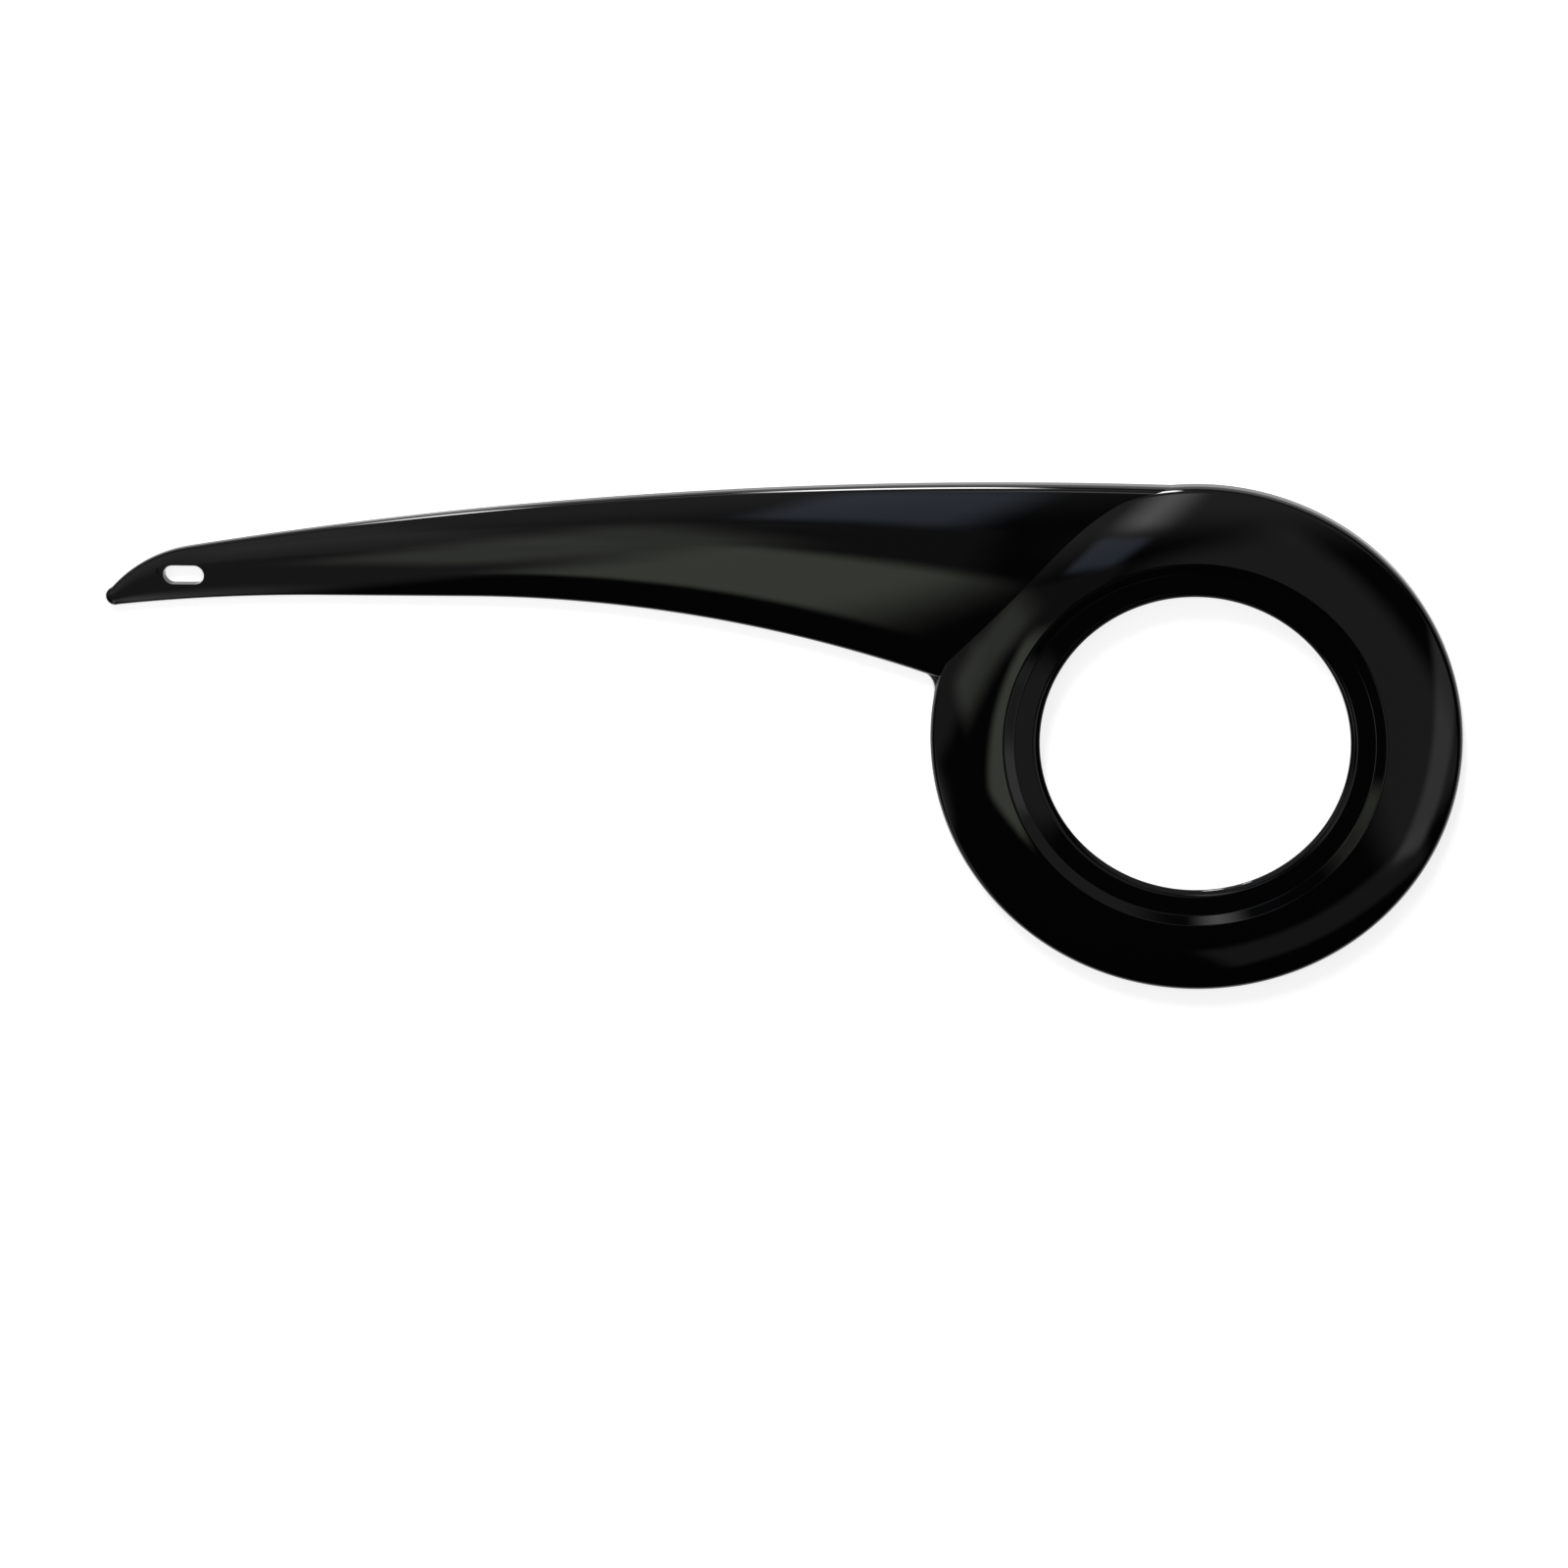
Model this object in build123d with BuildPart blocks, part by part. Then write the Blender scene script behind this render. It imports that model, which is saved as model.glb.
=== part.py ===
# Bicycle chain guard: one moulded shell, a dished ring around the chainring and a long tapering arm
# over the chain's upper run. It lies face up on its back rim. The origin is where the ring's axis
# meets the plane of that rim, +X points from the arm to the ring, and +Y to the arm's upper edge.
from math import asin, cos, degrees, radians, sin, sqrt, tan
import os
from build123d import *

os.makedirs("parts", exist_ok=True)

# Driving dimensions, in millimetres and degrees
wall = 2.2

# Ring, as radius from its axis and height above the back rim
ring_radius = 107.3
ring_skirt_height = 6.0
ring_edge_round = 3.0
ridge_radius = 77.0
ridge_height = 10.8
ridge_round = 3.0
flank_bulge = 0.7
land_radius = 72.8
land_height = 9.5
land_slope = 5.0
land_round = 3.0
hole_radius = 62.1
lip_round = 5.0
lip_turn = 50.0
lip_edge_round = 0.8

# Arm's upper edge: a long bow with its peak beside the ring, then the tail's tighter turn
bow_peak_x = -70.0
bow_peak_y = 107.7
bow_radius = 2090.0
bow_start_x = 4.0
bow_length = 416.0
beak_radius = 58.5
beak_turn = 37.5

# Arm's lower edge, from the tail to the ring: a slight rise, a straight run and a bow down
heel_x = -441.3
heel_y = 54.9
heel_rise = 6.2
heel_radius = 784.0
lower_run = 62.4
lower_bow_radius = 568.5
lower_bow_turn = 29.0

# Arm's section at the ring and at the tail: upright skirt, crown above it, rounded edge between
root_skirt_height = 6.0
tail_skirt_height = 3.0
root_crown = 3.5
tail_crown = 0.6
crown_power = 1.0
root_edge_round = 3.0
tail_edge_round = 1.4
tail_pad_length = 45.0

# Fillet in plan where the arm's lower edge meets the ring
notch_round = 8.0
notch_bite = 0.15
notch_drop = 1.4
notch_edge_round = 2.5

# Screw slot through the tail's solid pad, and the small gate mark beside it
slot_x = -412.5
slot_y = 68.2
slot_length = 17.0
slot_width = 8.0
gate_gap = 2.1
gate_rise = 1.7
gate_width = 1.4
gate_length = 2.6
gate_floor = 3.2

# Sections along the arm's loft, and how far the forms run below the rim before they are trimmed
arm_stations = 9
trim_depth = 4 * wall


def blend(start, end, share):
    return start + (end - start) * share


# Ring's face in section: lip that curls down to the hole, land, small step up to a ridge, and flank
land = Vector(land_radius, land_height)
ridge = Vector(ridge_radius, ridge_height)
shoulder = Vector(ring_radius, ring_skirt_height)
flank_normal = (shoulder - ridge).rotate(Axis.Z, 90).normalized()
flank_middle = (shoulder + ridge) / 2 + flank_normal * flank_bulge
flank_centre = ThreePointArc(ridge, flank_middle, shoulder).arc_center
step_in = (ridge - land).rotate(Axis.Z, -90).normalized()
land_in = Vector(0, -1).rotate(Axis.Z, land_slope)
skirt_in = Vector(-1, 0)
lip_out = Vector(0, 1).rotate(Axis.Z, lip_turn)
lip_centre_radius = hole_radius + lip_round * sin(radians(lip_turn))
land_fall = (land_radius - lip_centre_radius) * tan(radians(land_slope))
lip_centre = Vector(lip_centre_radius, land_height - land_fall - lip_round / cos(radians(land_slope)))


def set_corner_back(corner, normal_before, normal_after, distance):
    """Corner of an outline after both lines that meet there move inwards by the distance."""
    return corner + (normal_before + normal_after) * (distance / (1 + normal_before.dot(normal_after)))


def ring_profile(set_back):
    """Region under the ring's face, set back from it. A set-back region also runs in under the lip's edge."""
    flank_top_in = (flank_centre - ridge).normalized()
    flank_foot_in = (flank_centre - shoulder).normalized()
    land_corner = set_corner_back(land, land_in, step_in, set_back)
    ridge_corner = set_corner_back(ridge, step_in, flank_top_in, set_back)
    shoulder_corner = set_corner_back(shoulder, flank_foot_in, skirt_in, set_back)
    inner_end = lip_centre + lip_out * (lip_round + set_back)
    foot = set_back - trim_depth
    with BuildSketch(Plane.XZ) as profile:
        with BuildLine():
            curl = CenterArc(lip_centre, lip_round - set_back, 90 + land_slope, lip_turn - land_slope)
            Polyline(curl @ 0, land_corner, ridge_corner)
            ThreePointArc(ridge_corner, flank_middle - flank_normal * set_back, shoulder_corner)
            Polyline(shoulder_corner, (shoulder_corner.X, foot), (inner_end.X, foot), inner_end)
            if set_back > 0:
                Line(inner_end, curl @ 1)
        make_face()
    return profile


with BuildPart() as ring_form:
    with BuildSketch(Plane.XZ) as ring_section:
        add(ring_profile(0).sketch_local)
        for corner, rounding in ((shoulder, ring_edge_round), (ridge, ridge_round), (land, land_round)):
            fillet(ring_section.vertices().sort_by_distance(corner)[0], rounding)
    revolve(axis=Axis.Z)

with BuildPart() as ring_hollow:
    add(ring_profile(wall).sketch)
    revolve(axis=Axis.Z)

# Arm's two edges in plan, the upper one drawn from the ring and the lower one from the tail
bow_start_turn = degrees(asin((bow_start_x - bow_peak_x) / bow_radius))
bow_start_y = bow_peak_y - bow_radius * (1 - cos(radians(bow_start_turn)))
bow_heading = Vector(-1, 0).rotate(Axis.Z, -bow_start_turn)
heel_heading = Vector(1, 0).rotate(Axis.Z, heel_rise)

with BuildLine() as upper_edge:
    bow = JernArc((bow_start_x, bow_start_y), bow_heading, bow_radius, degrees(bow_length / bow_radius))
    JernArc(bow @ 1, bow % 1, beak_radius, beak_turn)

with BuildLine() as lower_edge:
    heel = JernArc((heel_x, heel_y), heel_heading, heel_radius, -heel_rise)
    run = Line(heel @ 1, heel @ 1 + Vector(lower_run, 0))
    lower_bow = JernArc(run @ 1, run % 1, lower_bow_radius, -lower_bow_turn)

upper = upper_edge.wires()[0]
lower = lower_edge.wires()[0]


def station_plane(share):
    """Upright plane across the arm, at a share of its length from the ring to the tail."""
    top = upper @ share
    bottom = lower @ (1 - share)
    across = top - bottom
    return Plane(origin=(top + bottom) / 2, x_dir=across, z_dir=across.cross(Vector(0, 0, 1)))


def arm_section(share, set_back):
    """Crowned section of the arm with upright skirts, set back all round."""
    half_width = (upper @ share - lower @ (1 - share)).length / 2
    skirt = blend(root_skirt_height, tail_skirt_height, share)
    crown = blend(tail_crown, root_crown, (1 - share) ** crown_power)
    crown_radius = (half_width**2 + crown**2) / (2 * crown)
    crown_centre = skirt + crown - crown_radius
    side = half_width - set_back
    foot = set_back - trim_depth
    radius = crown_radius - set_back
    top = crown_centre + sqrt(radius**2 - side**2)
    with BuildSketch(station_plane(share)) as section:
        with BuildLine():
            Polyline((side, top), (side, foot), (-side, foot), (-side, top))
            ThreePointArc((-side, top), (0, crown_centre + radius), (side, top))
        make_face()
        if set_back == 0:
            edges = section.vertices().group_by(Axis.Y)[-1]
            fillet(edges, blend(root_edge_round, tail_edge_round, share))
    return section


def arm_loft(set_back, end_share):
    """Loft along the arm, cleared inside the ring's flank."""
    shares = [end_share * station / (arm_stations - 1) for station in range(arm_stations)]
    with BuildPart() as arm:
        loft([arm_section(share, set_back).sketch for share in shares])
        Cylinder(ridge_radius, 4 * ridge_height, mode=Mode.SUBTRACT)
    return arm


arm_form = arm_loft(0, 1)
arm_hollow = arm_loft(wall, 1 - tail_pad_length / upper.length)

# Web that rounds the corner in plan between the arm's lower edge and the ring
ring_circle = CenterArc((0, 0), ring_radius, 90, 180)
notch = lower_bow.find_intersection_points(ring_circle)[0]
to_tail = lower_bow.tangent_at(notch) * -1
to_bottom = notch.rotate(Axis.Z, 90).normalized()
outwards = (to_tail + to_bottom).normalized()
half_angle = radians(to_tail.get_angle(to_bottom) / 2)
touch = notch_round / tan(half_angle)
web_centre = notch + outwards * (notch_round / sin(half_angle) - notch_bite)
web_root = notch - outwards * 2 * wall
web_height = root_skirt_height - notch_drop

with BuildPart() as notch_web:
    with BuildSketch(Plane.XY.offset(-trim_depth)):
        with BuildLine():
            Polyline(web_root, notch + to_tail * touch, notch + to_bottom * touch, close=True)
        make_face()
        with Locations(web_centre):
            Circle(notch_round, mode=Mode.SUBTRACT)
    extrude(amount=trim_depth + web_height)
    round_edges = notch_web.edges().filter_by(GeomType.CIRCLE)
    fillet(round_edges.sort_by(Axis.Z)[-1], notch_edge_round)

# Rounded tip: half of the arm's last section, turned about its own upright axis
with BuildPart() as tail_tip:
    with BuildSketch(station_plane(1)):
        add(arm_section(1, 0).sketch_local)
        split(bisect_by=Plane.YZ)
    revolve(axis=Axis(station_plane(1).origin, (0, 0, 1)), revolution_arc=180)

# Outer forms joined, hollowed by the same forms set back, and trimmed at the back rim
with BuildPart() as chain_guard:
    add(ring_form.part)
    add(arm_form.part)
    add(tail_tip.part)
    add(notch_web.part)
    add(ring_hollow.part + arm_hollow.part, mode=Mode.SUBTRACT)
    split(bisect_by=Plane.XY)
    with BuildSketch(Plane.XY):
        with Locations((slot_x, slot_y)):
            SlotOverall(slot_length, slot_width)
    extrude(amount=ridge_height, mode=Mode.SUBTRACT)
    with BuildSketch(Plane.XY.offset(gate_floor)):
        with Locations((slot_x - slot_length / 2 - gate_gap, slot_y + gate_rise)):
            SlotOverall(gate_length, gate_width, rotation=90)
    extrude(amount=ridge_height, mode=Mode.SUBTRACT)
    lip_radii = [(lip_centre + lip_out * reach).X for reach in (lip_round, lip_round - wall)]
    lip_edges = chain_guard.edges().filter_by(GeomType.CIRCLE)
    lip_edges = lip_edges.filter_by(lambda edge: min(abs(edge.radius - r) for r in lip_radii) < wall / 100)
    fillet(lip_edges, lip_edge_round)

chain_guard.part.label = "chain_guard"
export_step(chain_guard.part, "parts/chain_guard.step")
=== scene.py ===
# %% [markdown]
# # A moulded bicycle chain guard
# The guard is one shell of black ABS: a dished ring around the chainring and a long arm over the chain.
# Its gloss is what makes it hard to draw: every small flat of a coarse mesh shows as a kink in the
# reflections. The CAD triangles could be shown as they are, but they are such flats. So the shell is made
# again here from the same few sizes, finer, and with a normal from a formula at every point.

# %% Load the CAD frame
from math import acos, asin, atan2, cos, pi, radians, sin, sqrt, tan

import bmesh
import bpy
import numpy as np
from mathutils import Matrix, Vector


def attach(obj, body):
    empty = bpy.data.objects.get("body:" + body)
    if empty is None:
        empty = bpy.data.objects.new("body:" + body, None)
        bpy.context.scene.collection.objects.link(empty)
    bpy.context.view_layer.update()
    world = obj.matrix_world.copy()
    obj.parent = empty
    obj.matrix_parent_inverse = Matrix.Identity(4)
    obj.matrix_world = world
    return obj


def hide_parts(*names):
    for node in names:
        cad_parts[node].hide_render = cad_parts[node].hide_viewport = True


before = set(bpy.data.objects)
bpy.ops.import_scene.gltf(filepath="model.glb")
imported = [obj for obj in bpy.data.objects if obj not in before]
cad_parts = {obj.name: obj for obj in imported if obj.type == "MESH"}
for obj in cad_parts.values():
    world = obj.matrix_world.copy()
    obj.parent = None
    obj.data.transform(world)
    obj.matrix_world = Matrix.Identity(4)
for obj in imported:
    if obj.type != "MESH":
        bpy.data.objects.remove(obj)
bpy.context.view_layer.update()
MM = 0.001

# %% [markdown]
# ## Gloss black ABS
# The guard comes from a polished mould, so its skin mirrors the room. A rougher black would do from afar,
# but it would look like rubber. So the colour is a near black, the IOR is ABS's 1.54 and there is hardly
# any roughness. A very slight waviness of the skin keeps the reflections from looking like glass.


# %% Colours and nodes
def linear(hex_colour):
    """sRGB hex colour as linear RGBA."""
    parts = [int(hex_colour[i : i + 2], 16) / 255 for i in (1, 3, 5)]
    return [p / 12.92 if p <= 0.04045 else ((p + 0.055) / 1.055) ** 2.4 for p in parts] + [1.0]


def node(tree, kind, settings=None, *in_order, **by_name):
    """Adds a node with its settings, and sets or links its inputs, in order or by name."""
    made = tree.nodes.new(kind)
    for name, value in (settings or {}).items():
        setattr(made, name, value)
    inputs = list(zip(made.inputs, in_order))
    inputs += [(made.inputs[name.replace("_", " ")], value) for name, value in by_name.items()]
    for socket, value in inputs:
        if isinstance(value, bpy.types.NodeSocket):
            tree.links.new(value, socket)
        else:
            socket.default_value = value
    return made


black = linear("#060607")
print("black in linear values:", [round(part, 4) for part in black[:3]])

# %% Gloss black ABS
ripple_width, ripple_height = 14 * MM, 0.1 * MM


def gloss_black_abs():
    material = bpy.data.materials.new("gloss_black_abs_moulded")
    material.use_nodes = True
    tree = material.node_tree
    tree.nodes.clear()
    place = node(tree, "ShaderNodeTexCoord").outputs["Object"]
    skin = node(tree, "ShaderNodeTexNoise", Vector=place, Scale=1 / ripple_width, Detail=2.0, Roughness=0.5)
    ripple = skin.outputs["Fac"]
    haze = node(tree, "ShaderNodeMapRange", Value=ripple, To_Min=0.02, To_Max=0.045)
    wave = node(tree, "ShaderNodeBump", Height=ripple, Strength=0.05, Distance=ripple_height)
    surface = node(
        tree,
        "ShaderNodeBsdfPrincipled",
        Base_Color=black,
        Roughness=haze.outputs["Result"],
        IOR=1.54,
        Normal=wave.outputs["Normal"],
    )
    node(tree, "ShaderNodeOutputMaterial", Surface=surface.outputs["BSDF"])
    return material


abs_gloss = gloss_black_abs()
print("material:", abs_gloss.name)

# %% [markdown]
# ## Runs: curves that know their normals
# A section is a chain of lines and arcs. Each is kept as a run: points in a plane, in millimetres, and
# the outward normal at each point. Blender could guess normals from the faces, but a formula gives them
# exactly, and a gloss finish shows the difference.


# %% Lines and arcs in a section
def unit(vector):
    return vector / np.linalg.norm(vector)


def line_run(start, end, normal, steps):
    """Points from start to end, all with one normal."""
    shares = np.linspace(0, 1, steps + 1)[:, None]
    points = start + (end - start) * shares
    return points, np.tile(unit(np.array(normal, float)), (steps + 1, 1))


def arc_run(centre, start, end, steps, hollow=False):
    """Points along the shorter arc about a centre. The normals of a hollow arc point to its centre."""
    first, last = start - centre, end - centre
    turn = atan2(first[0] * last[1] - first[1] * last[0], first @ last)
    angles = np.linspace(0, turn, steps + 1)
    rotated_x = np.cos(angles) * first[0] - np.sin(angles) * first[1]
    rotated_y = np.sin(angles) * first[0] + np.cos(angles) * first[1]
    spokes = np.stack([rotated_x, rotated_y], 1)
    normals = spokes / np.linalg.norm(first)
    return centre + spokes, -normals if hollow else normals


def arc_through(start, middle, end, steps):
    """Points along the arc through three points."""
    chords = np.array([middle - start, end - start])
    centre = start + np.linalg.solve(2 * chords, (chords**2).sum(1))
    return arc_run(centre, start, end, steps)


def corner_run(before, corner, after, radius, steps, hollow=False):
    """Rounding of the corner between two straight lines."""
    back, forth = unit(before - corner), unit(after - corner)
    half_angle = acos(np.clip(back @ forth, -1, 1)) / 2
    centre = corner + unit(back + forth) * radius / sin(half_angle)
    reach = radius / tan(half_angle)
    return arc_run(centre, corner + back * reach, corner + forth * reach, steps, hollow)


sample_radius, sample_steps = 3.0, 14
ends = np.eye(2) * sample_radius
sample = arc_run(np.zeros(2), ends[0], ends[1], sample_steps)[0]
stray = sample_radius - np.linalg.norm(sample[0] + sample[1]) / 2
print("a quarter round of", sample_radius, "mm in", sample_steps, "steps is true to", round(stray, 4), "mm")

# %% [markdown]
# ## Meshes from patches
# A patch is a grid of points with a normal at each. A solid is a few patches and flat caps, merged where
# they meet. Smooth shading could round the edges by itself, but it also bends the flats beside them. So
# the normals are stored on the face corners, in an attribute that the Boolean modifier carries along when
# it cuts the faces.

# %% Patches to a solid mesh
NORMAL = "moulded_normal"
WELD = 0.001 * MM


def turned_patches(runs, segments, start_angle, end_angle):
    """Patches of runs in radius and height, turned part of the way about the Z axis."""
    angles = np.linspace(start_angle, end_angle, segments + 1)
    cosines, sines = np.cos(angles)[:, None], np.sin(angles)[:, None]
    flat = np.ones((segments + 1, 1))
    patches = []
    for points, normals in runs:
        place = np.stack([cosines * points[:, 0], sines * points[:, 0], flat * points[:, 1]], 2)
        facing = np.stack([cosines * normals[:, 0], sines * normals[:, 0], flat * normals[:, 1]], 2)
        patches.append((place, facing))
    return patches


def weld(work):
    """Merges points that lie a hair apart, and takes out edges that have next to no length."""
    bmesh.ops.remove_doubles(work, verts=work.verts, dist=WELD)
    bmesh.ops.dissolve_degenerate(work, edges=work.edges, dist=WELD / 2)


def solid(name, patches, caps=(), inward=False):
    """Mesh object from patches and caps, in millimetres. An inward solid is a cutter for a hollow."""
    places, corners, faces = [], [], []
    total = 0
    for place, facing in patches:
        rows, columns = place.shape[:2]
        index = np.arange(rows * columns).reshape(rows, columns) + total
        quads = np.stack([index[:-1, :-1], index[1:, :-1], index[1:, 1:], index[:-1, 1:]], 2)
        places.append(place.reshape(-1, 3))
        corners.append(facing.reshape(-1, 3))
        faces.extend(quads.reshape(-1, 4).tolist())
        total += rows * columns
    for points, normal in caps:
        places.append(points)
        corners.append(np.tile(normal, (len(points), 1)))
        faces.append(list(range(total, total + len(points))))
        total += len(points)
    places = np.concatenate(places) * MM
    corners = np.concatenate(corners) * (-1 if inward else 1)
    mesh = bpy.data.meshes.new(name)
    mesh.from_pydata(places.tolist(), [], faces)
    mesh.materials.append(abs_gloss)
    loops = np.zeros(len(mesh.loops), np.int32)
    mesh.loops.foreach_get("vertex_index", loops)
    layer = mesh.attributes.new(NORMAL, "FLOAT_VECTOR", "CORNER")
    layer.data.foreach_set("vector", corners[loops].ravel())
    work = bmesh.new()
    work.from_mesh(mesh)
    weld(work)
    bmesh.ops.recalc_face_normals(work, faces=work.faces)
    work.to_mesh(mesh)
    work.free()
    made = bpy.data.objects.new(name, mesh)
    bpy.context.scene.collection.objects.link(made)
    return made


print("points nearer than", WELD / MM, "mm are merged")

# %% [markdown]
# Forms are joined and cut by the Boolean modifier. The modifiers could stay live, but each would need its
# cutter kept hidden in the scene, and the whole chain would be worked out again at each change. So each
# result becomes a plain mesh at once, and its cutter goes.


# %% Modifiers to plain meshes
def make_plain(body):
    """Turns what a modifier makes of an object into its plain mesh, and takes the modifier off."""
    evaluated = body.evaluated_get(bpy.context.evaluated_depsgraph_get())
    result = bpy.data.meshes.new_from_object(evaluated)
    body.modifiers.clear()
    old = body.data
    body.data = result
    bpy.data.meshes.remove(old)


def cut(body, tool, operation):
    """Boolean of two solids. The result stays in the body and the tool goes."""
    step = body.modifiers.new("cut", "BOOLEAN")
    step.operation, step.object, step.solver = operation, tool, "EXACT"
    make_plain(body)
    bpy.data.objects.remove(tool)
    print(operation.lower(), "on", body.name, "leaves", len(body.data.polygons), "faces")
    return body


# %% [markdown]
# ## A tree that turns a section
# The ring is what a lathe would leave: one section, turned once about the axis. The Spin tool could turn
# it too, but it would lose the normals. A Geometry Nodes tree keeps them. It lays a flat grid, with the
# turn along its X and the section along its Y, then moves each of its points to where that point of the
# section stands after that much of the turn. The normals take the same turn and are stored on the face
# corners before the grid's seam is merged.

# %% Turning tree
SECTION_NORMAL = "section_normal"


def turning_tree():
    tree = bpy.data.node_groups.new("turn_a_section", "GeometryNodeTree")
    for name, side, kind in (
        ("Section", "INPUT", "Geometry"),
        ("Segments", "INPUT", "Int"),
        ("Material", "INPUT", "Material"),
        ("Turned", "OUTPUT", "Geometry"),
    ):
        tree.interface.new_socket(name, in_out=side, socket_type="NodeSocket" + kind)
    given = node(tree, "NodeGroupInput").outputs
    section = given["Section"]
    vectors = {"data_type": "FLOAT_VECTOR"}

    # A grid one unit wide each way: a column for each step of the turn, a row for each point of the section
    points = node(tree, "GeometryNodeAttributeDomainSize", None, section).outputs["Point Count"]
    last_point = node(tree, "ShaderNodeMath", {"operation": "SUBTRACT"}, points, 1.0).outputs[0]
    columns = node(tree, "ShaderNodeMath", {"operation": "ADD"}, given["Segments"], 1.0).outputs[0]
    grid = node(tree, "GeometryNodeMeshGrid", None, 1.0, 1.0, columns, points).outputs["Mesh"]

    # Each point's share of the turn, and which point of the section it is
    place = node(tree, "GeometryNodeInputPosition").outputs[0]
    spot = node(tree, "ShaderNodeSeparateXYZ", None, place).outputs
    angle = node(tree, "ShaderNodeMapRange", None, spot["X"], -0.5, 0.5, 0.0, 2 * pi).outputs["Result"]
    along = node(tree, "ShaderNodeMapRange", None, spot["Y"], -0.5, 0.5, 0.0, last_point).outputs["Result"]
    index = node(tree, "ShaderNodeMath", {"operation": "ROUND"}, along).outputs[0]

    # The section's place and normal there, both turned about the axis
    normal = node(tree, "GeometryNodeInputNamedAttribute", vectors, SECTION_NORMAL).outputs["Attribute"]
    spun = []
    for field in (place, normal):
        pick = node(tree, "GeometryNodeSampleIndex", vectors, section, field, index).outputs["Value"]
        spin = node(tree, "ShaderNodeVectorRotate", {"rotation_type": "Z_AXIS"}, Vector=pick, Angle=angle)
        spun.append(spin.outputs["Vector"])
    spun_place, spun_normal = spun

    on_corners = {"data_type": "FLOAT_VECTOR", "domain": "CORNER"}
    kept = node(
        tree, "GeometryNodeStoreNamedAttribute", on_corners, Geometry=grid, Name=NORMAL, Value=spun_normal
    )
    moved = node(tree, "GeometryNodeSetPosition", Geometry=kept.outputs[0], Position=spun_place)
    closed = node(tree, "GeometryNodeMergeByDistance", Geometry=moved.outputs[0], Distance=WELD)
    real = node(tree, "GeometryNodeRealizeInstances", None, closed.outputs[0])
    coated = node(tree, "GeometryNodeSetMaterial", Geometry=real.outputs[0], Material=given["Material"])
    node(tree, "NodeGroupOutput", None, coated.outputs[0])
    return tree


turning = turning_tree()
print("tree:", turning.name, "with", len(turning.nodes), "nodes")


# %% Turned solids
def turned(name, runs, segments, inward=False):
    """Solid of runs in radius and height, in millimetres, turned once by the tree."""
    points = np.concatenate([points for points, normals in runs]) * MM
    normals = np.concatenate([normals for points, normals in runs]) * (-1 if inward else 1)
    mesh = bpy.data.meshes.new(name)
    mesh.from_pydata(np.insert(points, 1, 0, axis=1).tolist(), [], [])
    layer = mesh.attributes.new(SECTION_NORMAL, "FLOAT_VECTOR", "POINT")
    layer.data.foreach_set("vector", np.insert(normals, 1, 0, axis=1).ravel())
    made = bpy.data.objects.new(name, mesh)
    bpy.context.scene.collection.objects.link(made)
    step = made.modifiers.new("turn", "NODES")
    step.node_group = turning
    sockets = {item.name: item.identifier for item in turning.interface.items_tree}
    step[sockets["Segments"]] = segments
    step[sockets["Material"]] = abs_gloss
    make_plain(made)
    # The grid brings an empty material slot of its own
    made.data.materials.pop(index=0)
    print("turned", name, "with", len(made.data.polygons), "faces")
    return made


# %% [markdown]
# ## The ring
# The ring's face is turned: a lip curls down to the hole, a narrow land lies around it, and a small step
# leads up to a ridge, from which a bulging flank falls to the skirt. It could be modelled as a bevelled
# cylinder, but the reflections follow each arc of the section, so each arc is drawn. Sizes are in
# millimetres, as radius from the axis and height above the rim.

# %% Ring sizes
wall = 2.2
ring_radius, ring_skirt_height, ring_edge_round = 107.3, 6.0, 3.0
ridge_radius, ridge_height, ridge_round = 77.0, 10.8, 3.0
flank_bulge = 0.7
land_radius, land_height, land_round, land_slope = 72.8, 9.5, 3.0, radians(5)
hole_radius, lip_round, lip_turn, lip_edge_round = 62.1, 5.0, radians(50), 0.8
below_rim = 4 * wall
ring_segments = 320

land = np.array([land_radius, land_height])
ridge = np.array([ridge_radius, ridge_height])
shoulder = np.array([ring_radius, ring_skirt_height])
step_up = unit(ridge - land)
step_in = np.array([step_up[1], -step_up[0]])
land_out = np.array([-sin(land_slope), cos(land_slope)])

# The lip is an arc that leaves the land's slope smoothly and has turned down by lip_turn at the hole
lip_centre_radius = hole_radius + lip_round * sin(lip_turn)
land_fall = (land_radius - lip_centre_radius) * tan(land_slope)
lip_centre = np.array([lip_centre_radius, land_height - land_fall - lip_round / cos(land_slope)])
lip_out = np.array([-sin(lip_turn), cos(lip_turn)])

# The flank is an arc through the ridge and the shoulder, bulging from the line between them
flank_chord = shoulder - ridge
flank_out = unit(np.array([-flank_chord[1], flank_chord[0]]))
flank_radius = (flank_chord @ flank_chord / 4 + flank_bulge**2) / (2 * flank_bulge)
flank_middle = (shoulder + ridge) / 2 + flank_out * flank_bulge
flank_centre = flank_middle - flank_out * flank_radius
print("the flank's arc has a radius of", round(flank_radius, 1), "mm")

# %% [markdown]
# The face is drawn from the foot of the skirt to the wall of the hole, as runs that meet at tangents. A
# polyline with its corners bevelled would come close, but its normals would be guesses. So the centre of
# each rounding is found, where the lines or arcs beside it would cross if they were set in by its radius.


# %% Ring's outer face
def meet_flank(point, direction, radius, near):
    """Where a line meets the circle of that radius about the flank's centre, nearest to a point."""
    away = point - flank_centre
    along = away @ direction
    root = sqrt(along**2 - away @ away + radius**2)
    hits = [point + direction * (-along + root), point + direction * (-along - root)]
    return min(hits, key=lambda hit: np.linalg.norm(hit - near))


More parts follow.
